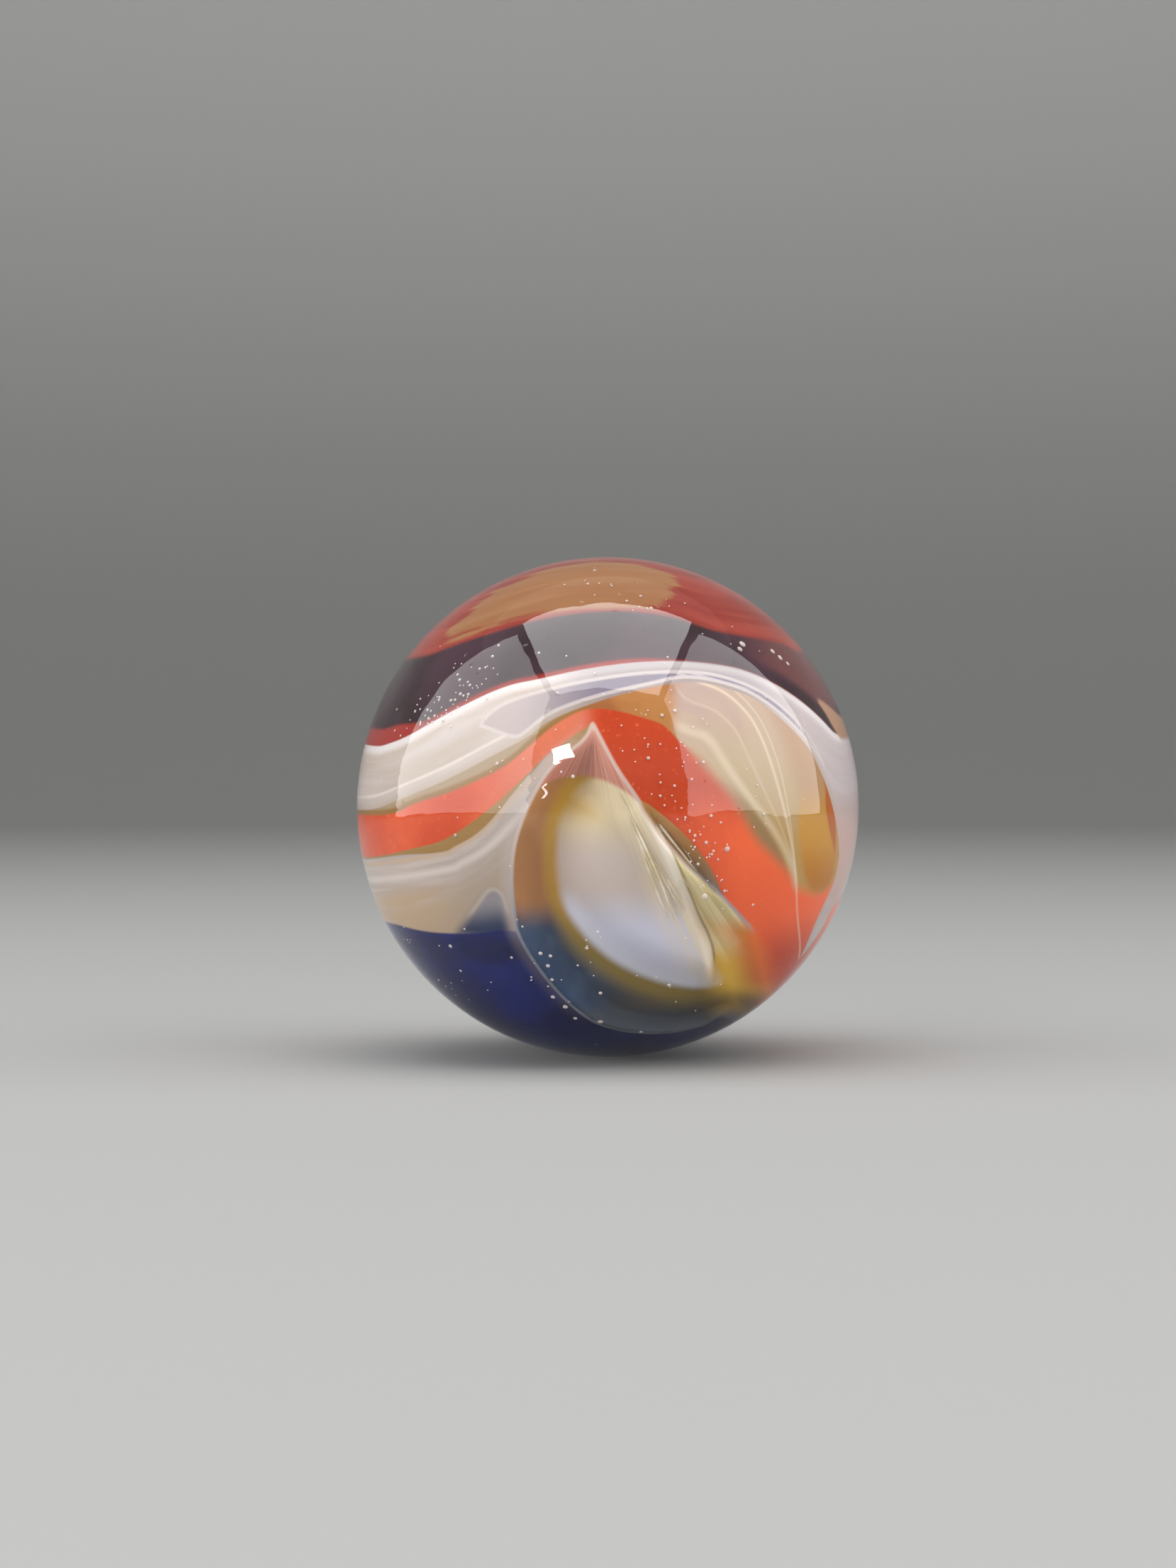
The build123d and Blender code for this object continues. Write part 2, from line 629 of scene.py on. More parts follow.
def fields(directions):
    """Every distance and soft share that the streams' colours and depth are worked out from."""
    edges = {
        "cobalt_top": (COBALT_TOP, TOP),
        "olive_low": (OLIVE_LOW, TOP),
        "orange_low": (ORANGE_LOW, TOP),
        "orange_top": (ORANGE_TOP, TOP),
        "white_low": (WHITE_LOW, TOP),
        "white_top": (WHITE_TOP, TOP),
        "cap_low": (CAP_LOW, TOP),
        "tan_patch": (TAN_PATCH, front(-0.2, 0.88)),
        "pocket": (POCKET, front(-0.4, 0.35)),
        "smoky_slit": (SMOKY_SLIT, front(0.3, -0.15)),
        "gold_lens": (GOLD_LENS, front(0.83, -0.2)),
        "rust_stripe": (RUST_STRIPE, front(0.87, 0.08)),
        "window": (WINDOW, front(0.0, -0.4)),
        "bowl": (BOWL, front(0.1, -0.4)),
        "grey_wedge": (GREY_WEDGE, front(-0.45, -0.42)),
        "tan_wedge": (TAN_WEDGE, front(0.9, 0.37)),
    }
    made = {name: signed(line, directions, inside) for name, (line, inside) in edges.items()}
    made["arc"] = across(STREAM_ARC, directions)
    made["bright_edge"] = across(BRIGHT_EDGE, directions)
    u, v = seen(directions)
    made["u"], made["v"] = u, v
    # 1 on the back, where the swirl is invented
    made["far"] = eased(directions[:, 1], -0.35, 0.1)
    # the angle about the window's peak
    made["fan"] = np.arctan2(u - PEAK_U, PEAK_V - v)
    # below 0 over the arch where the pink peak begins
    made["dome"] = 0.125 - v - 1.8 * (u + 0.12) ** 2
    # from -1 to 1 over the window's edge, which blurs low on the right
    soft = CRISP + LOOSE * eased(v, -0.42, -0.6) * eased(u, 0.4, 0.5)
    made["window_edge"] = made["window"] / soft
    return made


def depths(f):
    """How far under the skin the streams lie, in radii, from their fields."""
    inward = f["window"]
    low_right = eased(-f["v"], 0.4, 0.55) * eased(f["u"], 0.35, 0.5)
    in_bowl = eased(f["bowl"], -0.06, 0.16) * eased(-f["bright_edge"], -0.01, 0.03)
    depth = np.full(len(inward), STREAM_DEPTH)
    depth += WINDOW_DEPTH * (1 - WINDOW_FILL * low_right) * eased(inward, 0.0, 0.14)
    depth -= BOWL_RISE * in_bowl * eased(inward, 0.02, 0.12)
    depth += SLIT_DEPTH * eased(f["smoky_slit"], 0.0, 0.05)
    depth += COBALT_DEPTH * eased(-f["cobalt_top"], 0.0, 0.15) * (inward < 0)
    return depth


def streams_body():
    """The coloured glasses as one closed body, with its fields kept at each point for the paint."""
    directions, faces = quad_ball(STREAM_CELLS)
    kept = fields(directions)
    body = mesh_object("swirled_streams", real(sunk(directions, 1 - depths(kept))), faces)
    for name, values in kept.items():
        layer = body.data.attributes.new(name, "FLOAT", "POINT")
        layer.data.foreach_set("value", values.astype(np.float32))
    body.data.materials.append(streams_finish())


class Streams(Paint):
    """The streams' paint, with what its glasses share."""

    def __init__(self):
        super().__init__("swirled_streams")
        self.u = self.field("u")
        self.v = self.field("v")
        self.far = self.field("far")
        self.cloud = self.noise(self.spot(), 3.0, 4.0)

    def above(self, name, blur=CRISP):
        """1 where a field is above 0, with an edge this soft."""
        return self.ramp(self.field(name), -blur, blur)

    def clouded(self, a, b, low=0.4, high=0.6):
        """Two colours in soft clouds."""
        return self.mix(self.ramp(self.cloud, low, high), a, b)


def cream(p):
    """Pale cream and fawn streams, with a blue-grey wedge folded into their foot."""
    foot = p.field("cobalt_top")
    top = p.field("olive_low")
    pale = p.streaks(top, 22.0, 3.0)
    colour = p.mix(p.ramp(top, -0.08, -0.2), "cream", "fawn")
    streaked = p.product(p.ramp(pale, 0.42, 0.7), p.ramp(top, -0.24, -0.12))
    colour = p.mix(streaked, colour, "cream streak")
    colour = p.mix(p.near(p.math("ADD", top, 0.085), 0.026), colour, "cream line")
    colour = p.mix(p.near(p.math("ADD", top, 0.022), 0.015), colour, "fawn line")
    dull = p.product(p.ramp(p.u, -0.8, -0.5), p.ramp(top, -0.05, -0.18), 0.6)
    colour = p.mix(dull, colour, "dull cream")
    wedge = p.mix(p.ramp(foot, 0.13, 0.01), "wedge grey", "wedge blue")
    colour = p.mix(p.above("grey_wedge", 0.028), colour, wedge)
    fold = p.product(p.near(p.field("grey_wedge"), 0.014, 0.002), p.ramp(foot, 0.05, 0.1), 0.55)
    return p.mix(fold, colour, "wedge fold")


def olive_edge(p, colour):
    """The thin olive edge under the orange, which swells on the left."""
    low = p.field("olive_low")
    swell = p.product(p.ramp(p.u, -0.85, -0.65), p.ramp(p.u, -0.3, -0.5), 0.016)
    shown = p.ramp(p.math("ADD", low, swell), -CRISP, CRISP)
    return p.mix(shown, colour, p.mix(p.streaks(low, 40.0, 3.0), "olive edge", "olive edge lit"))


def orange(p):
    """The orange band: pinker left of the window's peak, deep right of it, bright lower down on the right and
    darker at the bottom right, partly its own tone and partly painted light and painted shade.
    """
    u, v = p.u, p.v
    colour = p.clouded("orange", "orange lit", 0.35, 0.7)
    deep = p.product(p.ramp(u, -0.25, 0.05), p.ramp(v, -0.1, 0.1), 0.8)
    colour = p.mix(deep, colour, "deep orange")
    pink = p.product(p.ramp(u, -0.6, -0.25), p.ramp(u, -0.02, -0.14), 0.75)
    colour = p.mix(pink, colour, "pink orange")
    # partly painted light: the orange brighter low on the right
    bright = p.product(p.ramp(u, 0.35, 0.55), p.ramp(v, 0.0, -0.15), 0.8)
    colour = p.mix(bright, colour, "bright orange with painted light")
    # partly painted shade: the orange darker towards the bottom right
    low_right = p.product(p.ramp(u, 0.5, 0.72), p.ramp(v, -0.4, -0.62), 0.85)
    colour = p.mix(low_right, colour, "low orange with painted shade")
    grain = p.noise(p.spot(), 60.0, 2.0)
    colour = p.mix(p.ramp(grain, 0.62, 0.75, 0.0, 0.4), colour, "orange grain")
    flow = p.streaks(p.field("olive_low"), 13.0, 1.6)
    colour = p.mix(p.product(p.far, p.ramp(flow, 0.47, 0.68), 0.7), colour, "dark flow")
    colour = p.mix(p.product(p.far, p.ramp(flow, 0.42, 0.3), 0.6), colour, "pale flow")
    line = p.product(p.near(p.field("arc"), 0.01, 0.0, 0.7), p.ramp(v, -0.15, -0.3))
    return p.mix(line, colour, "pale line")


# The pale lines in the peach glass: place beside the stream's arc, width and strength
VEIL_LINES = [
    (0.0, 0.012, 0.6),
    (0.035, 0.008, 0.4),
    (-0.09, 0.012, 0.25),
    (-0.2, 0.035, 0.45),
]


def peach(p):
    """Milky peach glass, smoky by the orange, with pale lines that gather towards its foot."""
    v = p.v
    arc = p.field("arc")
    drawn = p.streaks(arc, 9.0, 2.5)
    colour = p.mix(p.ramp(v, 0.42, 0.12), "pink peach", "peach")
    colour = p.mix(p.ramp(drawn, 0.4, 0.65, 0.0, 0.7), colour, "peach streak")
    colour = p.mix(p.ramp(arc, 0.03, 0.16, 0.0, 0.85), colour, "amber peach")
    colour = p.mix(p.ramp(v, 0.12, -0.2, 0.0, 0.85), colour, "low peach")
    gather = p.ramp(v, -0.3, 0.25, 0.05, 1.05)
    veil = p.math("ADD", arc, p.product(gather, 0.2))
    smoky = p.product(p.ramp(veil, 0.0, -0.05), p.ramp(v, 0.14, -0.04))
    colour = p.mix(smoky, colour, "smoky peach")
    for place, width, strength in VEIL_LINES:
        away = p.math("SUBTRACT", arc, p.product(gather, place))
        colour = p.mix(p.near(away, width, 0.0, strength), colour, "veil")
    return colour


def over_orange(p, colour):
    """Above the orange: a tan strip on the left, caramel at the middle and peach on the right."""
    low = p.field("orange_top")
    strip = p.mix(p.ramp(low, 0.012, 0.03), "strip edge", "tan strip")
    strip = p.mix(p.ramp(p.u, -0.2, 0.0), strip, p.clouded("caramel", "caramel lit"))
    strip = p.mix(p.ramp(p.u, 0.24, 0.3), strip, peach(p))
    blur = p.ramp(p.u, 0.25, 0.4, 0.006, 0.035)
    return p.mix(p.ramp(p.math("DIVIDE", low, blur), -1.0, 1.0), colour, strip)


def gold_lens(p, colour):
    """A lens of gold glass low in the peach, with a rust stripe beside it."""
    shown = p.product(p.ramp(p.field("gold_lens"), -0.015, 0.03), p.ramp(p.v, 0.14, -0.12))
    colour = p.mix(shown, colour, p.mix(p.ramp(p.v, -0.1, -0.3), "gold", "deep gold"))
    return p.mix(p.above("rust_stripe", 0.008), colour, "rust stripe")


def white(p):
    """The white stream, in silky streaks, darker where it runs thin over the oxblood at the middle."""
    u, v = p.u, p.v
    top = p.field("white_top")
    low = p.field("white_low")
    silk = p.streaks(top, 18.0, 2.5)
    colour = p.mix(p.ramp(silk, 0.35, 0.65), "white", "white streak")
    colour = p.mix(p.ramp(u, -0.3, 0.2, 0.0, 0.5), colour, "lilac white")
    colour = p.mix(p.ramp(top, -0.05, -0.015, 0.0, 0.9), colour, "bright white")
    line = p.near(p.math("SUBTRACT", low, 0.05), 0.01, 0.002, 0.7)
    colour = p.mix(p.product(line, p.ramp(u, 0.0, -0.2)), colour, "white line")
    colour = p.mix(p.ramp(low, 0.045, 0.0, 0.0, 0.6), colour, "white foot")
    low_right = p.product(p.ramp(u, 0.84, 0.92), p.ramp(v, 0.1, -0.15))
    colour = p.mix(low_right, colour, "pink white")
    drift = p.streaks(low, 11.0, 1.8)
    colour = p.mix(p.product(p.far, p.ramp(drift, 0.5, 0.66, 0.0, 0.8)), colour, "brown wisp")
    colour = p.mix(p.product(p.far, p.ramp(drift, 0.44, 0.3, 0.0, 0.7)), colour, "pale wisp")
    thin = p.product(p.ramp(u, -0.35, 0.0), p.ramp(u, 0.8, 0.5), 0.4)
    return p.mix(thin, colour, "plum shade")


def pocket(p, colour):
    """A lavender pocket drawn out in the white, with a pale rim."""
    inside = p.mix(p.ramp(p.u, -0.4, 0.0), "pocket grey", "pocket lavender")
    colour = p.mix(p.above("pocket"), colour, inside)
    rim = p.near(p.field("pocket"), 0.011, 0.004)
    return p.mix(p.product(rim, 0.7), colour, "pocket rim")


def oxblood(p, colour):
    """A red line over the white, then oxblood purple, with a tan wedge at the right rim."""
    low = p.field("white_top")
    colour = p.mix(p.above("white_top"), colour, "red line")
    purple = p.clouded("oxblood", "oxblood lit", 0.4, 0.65)
    plum = p.streaks(low, 12.0, 1.5)
    purple = p.mix(p.product(p.far, p.ramp(plum, 0.52, 0.7)), purple, "plum streak")
    brown = p.product(p.ramp(p.u, 0.5, 0.7), p.ramp(low, 0.04, 0.1))
    purple = p.mix(brown, purple, "red brown")
    middle_width = p.ramp(p.u, 0.05, 0.4, 0.018, 0.0)
    left_width = p.product(p.ramp(p.u, -0.7, -0.85), 0.05)
    past_line = p.math("SUBTRACT", low, p.math("ADD", middle_width, left_width))
    colour = p.mix(p.ramp(past_line, -0.012, 0.012), colour, purple)
    return p.mix(p.above("tan_wedge", 0.012), colour, "tan wedge")


def cap(p, colour):
    """The rust cap, with a ragged tan patch at its front."""
    rusty = p.streaks(p.field("cap_low"), 14.0, 2.0)
    grained = p.ramp(rusty, 0.35, 0.65)
    colour = p.mix(p.above("cap_low", 0.015), colour, p.mix(grained, "rust", "rust lit"))
    ragged = p.math("ADD", p.field("tan_patch"), p.ramp(rusty, 0.35, 0.65, -0.03, 0.03))
    return p.mix(p.ramp(ragged, -0.02, 0.02), colour, p.mix(grained, "tan", "tan lit"))


def smoky_slit(p, colour):
    """Clear smoky glass between the window and the orange."""
    smoke = p.mix(p.ramp(p.v, -0.15, -0.35), p.clouded("smoke", "smoke dark"), "grey smoke")
    return p.mix(p.above("smoky_slit"), colour, smoke)


def tinted_glass(p):
    """The window's clear glass: amber above steel blue, with a gold glow round the bowl."""
    v = p.v
    amber = p.clouded("amber", "amber dark")
    steel = p.clouded("steel", "steel lit")
    colour = p.mix(p.ramp(v, -0.36, -0.5), amber, steel)
    olive = p.product(p.ramp(p.u, -0.15, 0.3), p.ramp(v, -0.45, -0.65), 0.85)
    colour = p.mix(olive, colour, "olive glass")
    colour = p.mix(p.ramp(v, -0.78, -0.84), colour, "slate glass")
    glow = p.mix(p.ramp(v, -0.35, -0.6), "gold glow", "olive glow")
    reach = p.ramp(v, -0.4, -0.6, -0.08, -0.13)
    return p.mix(p.ramp(p.field("bowl"), reach, -0.02, 0.0, 0.95), colour, glow)


def opal_bowl(p, silky):
    """Opal, golden at its top and blue at its foot, combed out to a bright right edge."""
    v = p.v
    edge = p.field("bright_edge")
    colour = p.mix(p.ramp(v, -0.3, -0.52), "opal", "blue opal")
    colour = p.mix(p.ramp(v, -0.22, -0.02), colour, "gold opal")
    combed = p.product(p.ramp(edge, -0.2, -0.03), p.ramp(silky, 0.15, 0.75))
    colour = p.mix(combed, colour, "combed opal")
    colour = p.mix(p.ramp(edge, -0.05, -0.02), colour, "bright edge")
    lip = p.product(p.ramp(p.field("bowl"), 0.09, 0.01), p.ramp(v, -0.3, -0.45))
    return p.mix(lip, colour, "opal lip")


def silky_green(p, silky):
    """The glass right of the bright edge: silky green, then gold, rust and dark olive lower down."""
    v = p.v
    colour = p.mix(p.ramp(silky, 0.35, 0.65), "green silk", "green silk lit")
    colour = p.mix(p.ramp(v, -0.52, -0.64), colour, "low gold")
    colour = p.mix(p.ramp(v, -0.7, -0.79), colour, "dark olive")
    by_wall = p.ramp(p.field("window"), 0.15, 0.02)
    rusted = p.product(by_wall, p.ramp(v, -0.42, -0.52), p.ramp(v, -0.76, -0.68))
    colour = p.mix(rusted, colour, "low rust")
    crack = p.product(p.near(p.field("bright_edge"), 0.012, 0.006), p.ramp(v, -0.66, -0.58), 0.6)
    return p.mix(crack, colour, "crack")


def window(p, colour):
    """The pointed window: tinted clear glass, with the opal bowl in it and a pink peak."""
    v = p.v
    edge = p.field("bright_edge")
    fan = {0: p.product(p.field("fan"), 30.0), 1: p.u, 2: v}
    silky = p.noise(p.node("ShaderNodeCombineXYZ", fan).outputs[0], 1.6, 5.0, 0.6, 0.4)
    glass = tinted_glass(p)
    below_top = p.math("MAXIMUM", p.ramp(v, 0.08, -0.1), p.ramp(edge, -0.3, -0.14))
    in_bowl = p.product(p.ramp(p.field("bowl"), -0.025, 0.02), below_top)
    glass = p.mix(in_bowl, glass, opal_bowl(p, silky))
    blur = p.ramp(v, -0.6, -0.72, 0.006, 0.09)
    beyond = p.product(p.ramp(p.math("DIVIDE", edge, blur), -1.0, 1.0), p.ramp(v, -0.87, -0.78))
    glass = p.mix(beyond, glass, silky_green(p, silky))
    peak = p.product(p.ramp(p.field("dome"), 0.012, -0.012), p.ramp(v, -0.08, 0.0))
    glass = p.mix(peak, glass, p.mix(p.ramp(silky, 0.4, 0.6), "peak red", "peak pink"))
    return p.mix(p.ramp(p.field("window_edge"), -1.0, 1.0), colour, glass)


def film(p, colour):
    """The pale film where the window's glass folds over its neighbours."""
    u, v = p.u, p.v
    edge = p.field("window")
    outside = p.product(p.ramp(edge, -0.07, -0.01), p.ramp(edge, 0.004, -0.004))
    beside = p.product(outside, p.ramp(u, -0.05, -0.2), p.ramp(v, -0.72, -0.3, 0.12, 0.5))
    colour = p.mix(beside, colour, "film veil")
    hidden = p.product(p.ramp(v, -0.45, -0.52), p.ramp(u, 0.3, 0.5))
    line = p.product(p.near(edge, 0.012, 0.002), p.math("SUBTRACT", 1.0, hidden), 0.75)
    return p.mix(line, colour, p.mix(p.ramp(v, -0.1, -0.5), "film", "low film"))


def streams_finish():
    """Every glass in its place, laid one over another from the foot of the ball to its cap."""
    p = Streams()
    colour = p.clouded("cobalt", "cobalt lit", 0.35, 0.7)
    colour = p.mix(p.above("cobalt_top", 0.006), colour, cream(p))
    colour = olive_edge(p, colour)
    colour = p.mix(p.above("orange_low"), colour, orange(p))
    colour = over_orange(p, colour)
    colour = gold_lens(p, colour)
    colour = p.mix(p.above("white_low"), colour, white(p))
    colour = pocket(p, colour)
    colour = oxblood(p, colour)
    colour = cap(p, colour)
    colour = smoky_slit(p, colour)
    colour = window(p, colour)
    colour = film(p, colour)
    p.feed(p.shader.inputs["Base Color"], colour)
    p.shader.inputs["Roughness"].default_value = 1.0
    p.shader.inputs["Specular IOR Level"].default_value = 0.0
    return p.material


# ---------------------------------------------------------------- the clear skin


def skin_finish():
    """Clear glass that lets lamps and the light off what is in it straight through."""
    p = Paint("clear_skin")
    p.shader.inputs["Base Color"].default_value = (1, 1, 1, 1)
    p.shader.inputs["Transmission Weight"].default_value = 1.0
    p.shader.inputs["IOR"].default_value = GLASS_IOR
    p.shader.inputs["Roughness"].default_value = 0.0
    swells = p.noise(p.spot(), 3.6, 2.0, 0.42)
    pits = p.ramp(p.noise(p.spot(), 34.0, 1.0, 0.4), 0.74, 0.8, 0.0, -0.25)
    height = p.math("ADD", swells, pits)
    bump = p.node("ShaderNodeBump", {"Height": height, "Distance": 0.00004, "Strength": 1.0})
    p.feed(p.shader.inputs["Normal"], bump.outputs[0])
    light = p.node("ShaderNodeLightPath").outputs
    clear = p.node("ShaderNodeBsdfTransparent").outputs[0]
    surface = p.shader.outputs[0]
    for ray in ("Is Shadow Ray", "Is Diffuse Ray"):
        surface = p.node("ShaderNodeMixShader", {0: light[ray], 1: surface, 2: clear}).outputs[0]
    p.feed(p.output.inputs["Surface"], surface)
    return p.material


# ---------------------------------------------------------------- threads and bubbles


def gathered(name, parts, finish):
    """Several small closed pieces as one object."""
    points, faces, start = [], [], 0
    for part_points, part_faces in parts:
        points.append(part_points)
        faces += [tuple(i + start for i in face) for face in part_faces]
        start += len(part_points)
    piece = mesh_object(name, np.vstack(points), faces)
    piece.data.materials.append(finish)


def hair(places, widths):
    """A tapered thread along these places, half as thick as it is wide, as points and faces."""
    sides = 6
    along = np.gradient(places, axis=0)
    along /= np.linalg.norm(along, axis=1, keepdims=True)
    out = places / np.linalg.norm(places, axis=1, keepdims=True)
    side = np.cross(along, out)
    side /= np.linalg.norm(side, axis=1, keepdims=True)
    over = np.cross(side, along)
    turns = np.arange(sides) * 2 * math.pi / sides
    loops = [places + widths[:, None] * (side * math.cos(t) + 0.5 * over * math.sin(t)) for t in turns]
    points = np.stack(loops, 1).reshape(-1, 3)
    faces = tube_faces(len(places), sides)
    last = len(points) - sides
    faces.append(tuple(range(sides))[::-1])
    faces.append(tuple(range(last, last + sides)))
    return points, faces


THREADS = 26
THREAD_ANGLE = 0.36  # of the first thread, from straight down, about the window's peak
THREAD_SPREAD = 0.25  # from the first thread to the last


def threads():
    """Fine pale threads that fan out from the window's peak, down its right side."""
    luck = np.random.default_rng(4)
    parts = []
    t = np.linspace(0, 1, 24)
    for k in range(THREADS):
        angle = THREAD_ANGLE + THREAD_SPREAD * k / (THREADS - 1) + luck.uniform(-0.01, 0.01)
        start = luck.uniform(0.04, 0.4)
        end = luck.uniform(0.5, 0.85)
        reach = start + (end - start) * t
        wave = 0.03 * np.sin(2.5 * t + k)
        bend = angle + wave - 0.08 * reach * (angle - 0.45)
        u = PEAK_U + reach * np.sin(bend)
        v = PEAK_V - reach * np.cos(bend)
        way = [front(a, b) for a, b in zip(u, v)]
        depth = 0.035 + luck.uniform(0.0, 0.06) * eased(reach, 0.05, 0.4)
        width = RADIUS * luck.uniform(0.0022, 0.006) * (0.15 + np.sin(math.pi * t))
        parts.append(hair(real(sunk(way, 1 - depth)), width))
    gathered("glass_threads", parts, thread_finish())


def thread_finish():
    """Pale cream glass, mottled along its length."""
    p = Paint("pale_threads")
    mottle = p.ramp(p.noise(p.spot(), 9.0, 3.0), 0.35, 0.65)
    p.feed(p.shader.inputs["Base Color"], p.mix(mottle, "thread", "thread lit"))
    p.shader.inputs["Roughness"].default_value = 0.6
    return p.material


# Bubbles that can be told apart: u, v and radius
BUBBLES = [
    (0.48, -0.17, 0.012),
    (0.39, -0.36, 0.011),
    (-0.63, -0.56, 0.008),
    (-0.27, -0.59, 0.008),
    (-0.23, -0.6, 0.007),
    (-0.24, -0.64, 0.008),
    (-0.22, -0.765, 0.009),
    (-0.17, -0.805, 0.01),
    (-0.13, -0.85, 0.008),
    (-0.03, -0.865, 0.011),
    (0.54, 0.655, 0.016),
    (0.53, 0.635, 0.012),
    (0.66, 0.625, 0.012),
    (0.69, 0.6, 0.013),
    (0.72, 0.575, 0.01),
]
# Drifts of finer ones: u and v of one end, u and v of the other, how wide they scatter, and how many
DRIFTS = [
    (-0.7, 0.72, -0.48, 0.86, 0.012, 34),
    (-0.8, 0.3, -0.47, 0.57, 0.045, 70),
    (0.22, 0.12, 0.5, -0.4, 0.05, 44),
    (-0.9, -0.45, -0.55, -0.8, 0.03, 26),
    (0.1, 0.45, 0.6, 0.05, 0.12, 40),
    (-0.1, 0.9, 0.5, 0.7, 0.08, 24),
    (-0.5, -0.55, 0.3, -0.75, 0.12, 36),
    (-0.8, 0.0, 0.3, 0.6, 0.25, 30),
]
BUBBLE_GAP = 0.005  # from a bubble to the skin, in radii
STRAYS = 160  # tried all round the ball, and those on the near side are left out
BUBBLE_RIM = 0.97  # no bubble is laid further out than this from the middle, as seen from the front


def bubble_size(luck, least, most):
    """A bubble's radius, far more often near the least than near the most."""
    return least + (most - least) * luck.uniform(0, 1) ** 3


def bubbles():
    """Seed bubbles caught just under the skin: some in known places, finer ones in drifts, and strays."""
    luck = np.random.default_rng(7)
    marks = list(BUBBLES)
    for u0, v0, u1, v1, spread, count in DRIFTS:
        for t in luck.uniform(0, 1, count):
            du, dv = luck.normal(0, spread, 2)
            size = bubble_size(luck, 0.003, 0.0075)
            marks.append((u0 + (u1 - u0) * t + du, v0 + (v1 - v0) * t + dv, size))
    spots = [(np.array(front(u, v)), size) for u, v, size in marks if math.hypot(u, v) <= BUBBLE_RIM]
    for _ in range(STRAYS):
        way = luck.normal(0, 1, 3)
        way /= np.linalg.norm(way)
        if way[1] > -0.1:
            spots.append((way, bubble_size(luck, 0.0022, 0.0082)))
    ball, faces = quad_ball(BUBBLE_CELLS)
    parts = [(real(way * (1 - BUBBLE_GAP - size) + ball * size), faces) for way, size in spots]
    gathered("seed_bubbles", parts, bubble_glint_finish())


def bubble_glint_finish():
    """The bright, half clear wall of a bubble, whose pale colour is a painted glint in place of the light a
    bubble reflects.
    """
    p = Paint("bubble_painted_glints")
    # painted glint: a pale mottled colour in place of reflected light
    mottle = p.noise(p.spot(), 12.0, 2.0)
    p.feed(p.shader.inputs["Base Color"], p.mix(mottle, "bubble", "bright bubble glint"))
    p.shader.inputs["Roughness"].default_value = 0.15
    p.shader.inputs["Alpha"].default_value = 0.6
    return p.material


# ---------------------------------------------------------------- the studio

# A light tent round the marble, in metres
TENT_SIDE = 0.25  # its walls stand this far to the left and right
TENT_TOP = 0.50
TENT_FRONT = -0.355
TENT_REAR = 0.085
CEILING_REAR = 0.14
SEAM = 0.02  # the dark gaps between its walls and its ceiling
WALL_GAP = 0.002  # between its walls and the floor

# Radiance of the tent
WALL_GLOW = 2.1
CEILING_GLOW = 3.3

# Lamps beyond the tent's mouth, which face the ball: centre, which way is wide, size and radiance
SPOT_LAMPS = {
    "small_lamp": ((-0.2, -0.509, 0.247), (1.0, -0.19, 0.42), (0.085, 0.055), 22.0),
    "thin_lamp": ((-0.279, -0.525, 0.081), (1.0, -0.53, 0.0), (0.012, 0.07), 12.0),
}


def panel(name, centre, facing, wide_way, size, radiance):
    """A soft lamp: a flat rectangle that shines along facing, with its width along wide_way."""
    width, length = size
    lamp = bpy.data.lights.new(name, "AREA")
    lamp.shape = "RECTANGLE"
    lamp.size, lamp.size_y = width, length
    lamp.energy = radiance * math.pi * width * length
    holder = bpy.data.objects.new(name, lamp)
    bpy.context.scene.collection.objects.link(holder)
    back = -Vector(facing).normalized()
    side = Vector(wide_way).normalized()
    up = back.cross(side)
    turn = Matrix((side, up, back)).transposed().to_4x4()
    holder.matrix_world = Matrix.Translation(centre) @ turn
    holder.visible_camera = False


def studio():
    """The light tent, the two lamps in front of it, a dim even world, and the floor."""
    wall_low, wall_high = FOOT + WALL_GAP, TENT_TOP - SEAM
    size = (TENT_REAR - TENT_FRONT, wall_high - wall_low)
    for name, way in (("left_wall", -1), ("right_wall", 1)):
        centre = (way * TENT_SIDE, (TENT_REAR + TENT_FRONT) / 2, (wall_low + wall_high) / 2)
        panel(name, centre, (-way, 0, 0), (0, 1, 0), size, WALL_GLOW)
    centre = (0, (CEILING_REAR + TENT_FRONT) / 2, TENT_TOP)
    size = (2 * (TENT_SIDE - SEAM), CEILING_REAR - TENT_FRONT)
    panel("ceiling", centre, (0, 0, -1), (1, 0, 0), size, CEILING_GLOW)
    for name, (centre, wide_way, size, glow) in SPOT_LAMPS.items():
        panel(name, centre, -Vector(centre), wide_way, size, glow)

    world = bpy.data.worlds.new("studio")
    bpy.context.scene.world = world
    world.use_nodes = True
    background = world.node_tree.nodes["Background"].inputs
    background["Color"].default_value = (0.8, 0.8, 0.8, 1)
    background["Strength"].default_value = 0.5
    sweep()


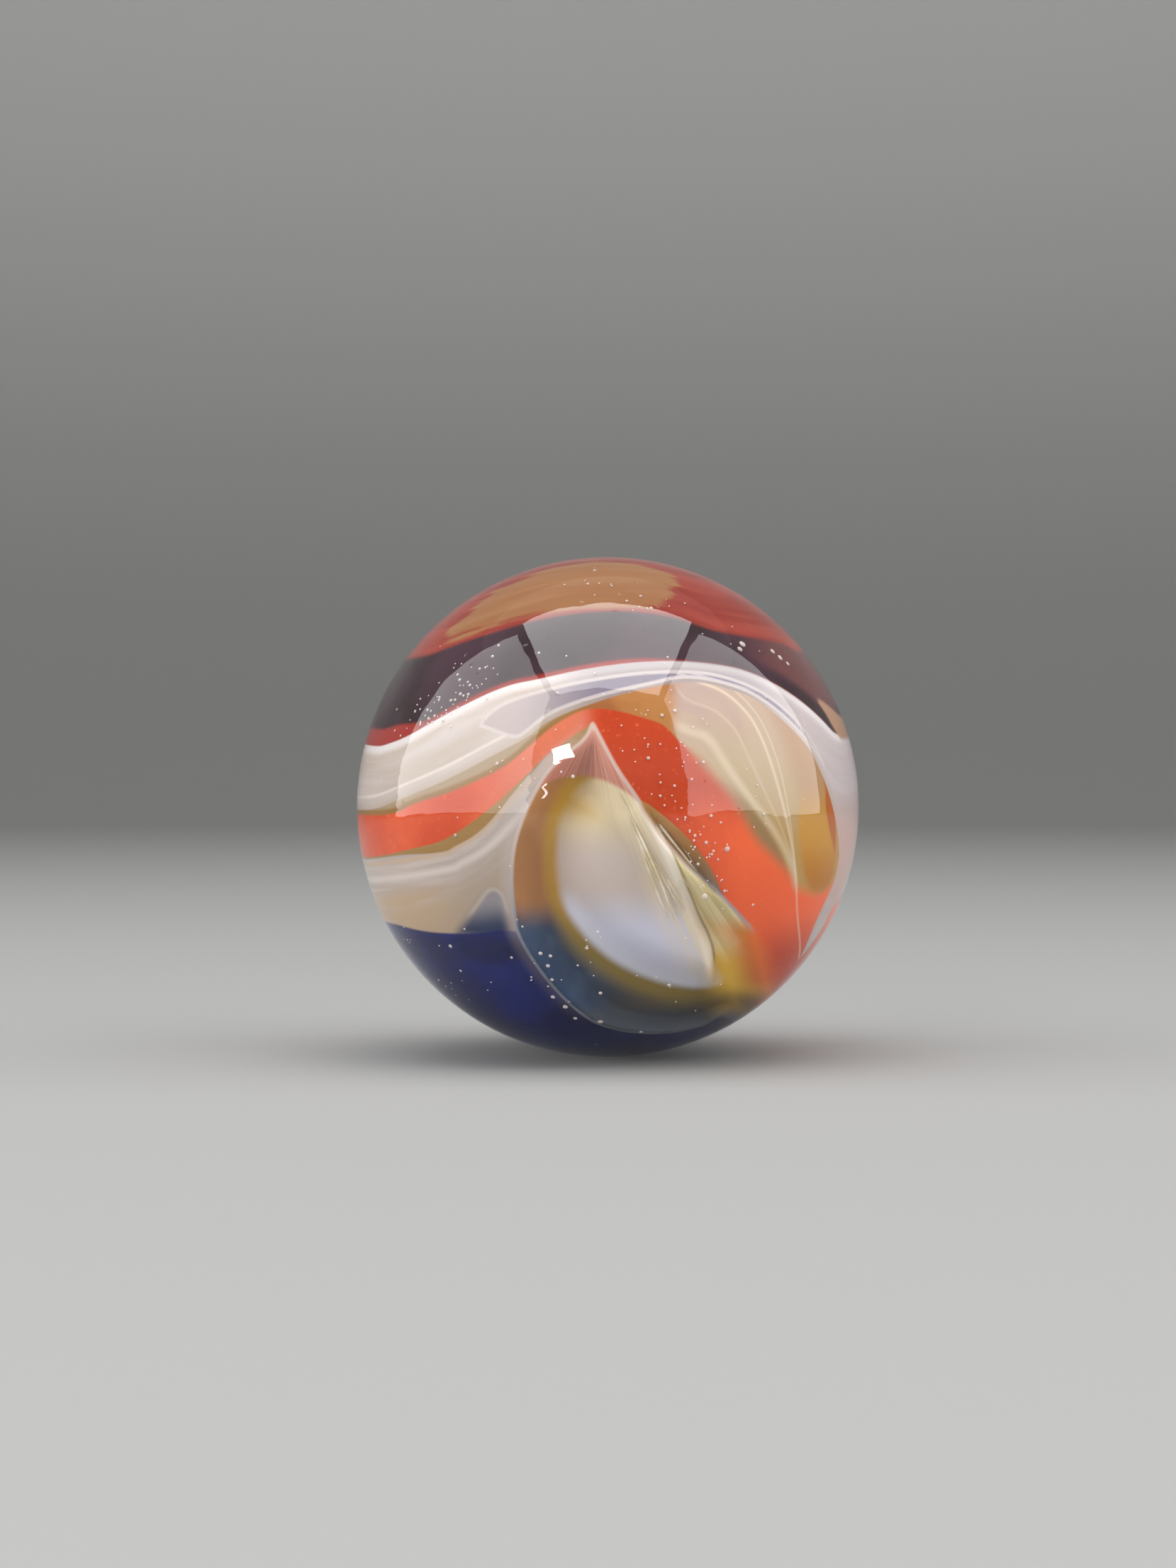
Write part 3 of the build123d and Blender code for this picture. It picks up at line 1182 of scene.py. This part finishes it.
def sweep():
    """A pale floor that curves up into a wall all the way round."""
    flat, bend, tall = 0.5, 0.35, 1.0  # radius of the flat floor and of the curve, and height of the wall
    turns = 96
    profile = [(flat * i / 6, 0.0) for i in range(1, 7)]
    for a in np.linspace(0, math.pi / 2, 17)[1:]:
        profile.append((flat + bend * math.sin(a), bend * (1 - math.cos(a))))
    profile.append((flat + bend, tall))
    places = []
    for r, z in profile:
        for k in range(turns):
            a = 2 * math.pi * k / turns
            places.append((r * math.cos(a), r * math.sin(a), FOOT + z))
    faces = [face[::-1] for face in tube_faces(len(profile), turns)]  # they face inwards
    faces.append(tuple(range(turns)))
    mesh = bpy.data.meshes.new("floor")
    mesh.from_pydata(places, [], faces)
    mesh.shade_smooth()
    floor = bpy.data.objects.new("floor", mesh)
    bpy.context.scene.collection.objects.link(floor)
    mesh.materials.append(floor_finish())


def floor_finish():
    """Matt grey below, paler up the wall."""
    p = Paint("floor")
    place = p.node("ShaderNodeTexCoord").outputs["Object"]
    rise = p.node("ShaderNodeSeparateXYZ", {0: place}).outputs[2]
    p.feed(p.shader.inputs["Base Color"], p.mix(p.ramp(rise, 0.0, 0.3), "floor", "backdrop"))
    p.shader.inputs["Roughness"].default_value = 0.9
    p.shader.inputs["Specular IOR Level"].default_value = 0.1
    return p.material


def camera():
    """The camera, at the photograph's angle."""
    lens = bpy.data.cameras.new("camera")
    lens.lens = LENS
    lens.sensor_width = 36.0
    lens.shift_x, lens.shift_y = SHIFT
    lens.clip_start, lens.clip_end = 0.005, 5.0
    holder = bpy.data.objects.new("camera", lens)
    bpy.context.scene.collection.objects.link(holder)
    eye = Vector(tilted(0, -1, 0)) * CAMERA_REACH * RADIUS
    holder.location = eye
    holder.rotation_euler = (-eye).to_track_quat("-Z", "Y").to_euler()
    bpy.context.scene.camera = holder


# ---------------------------------------------------------------- the whole scene

bpy.context.scene.view_settings.view_transform = "Standard"
camera()
studio()
streams_body()
threads()
bubbles()
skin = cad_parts["marble"]
skin.material_slots[0].material = skin_finish()
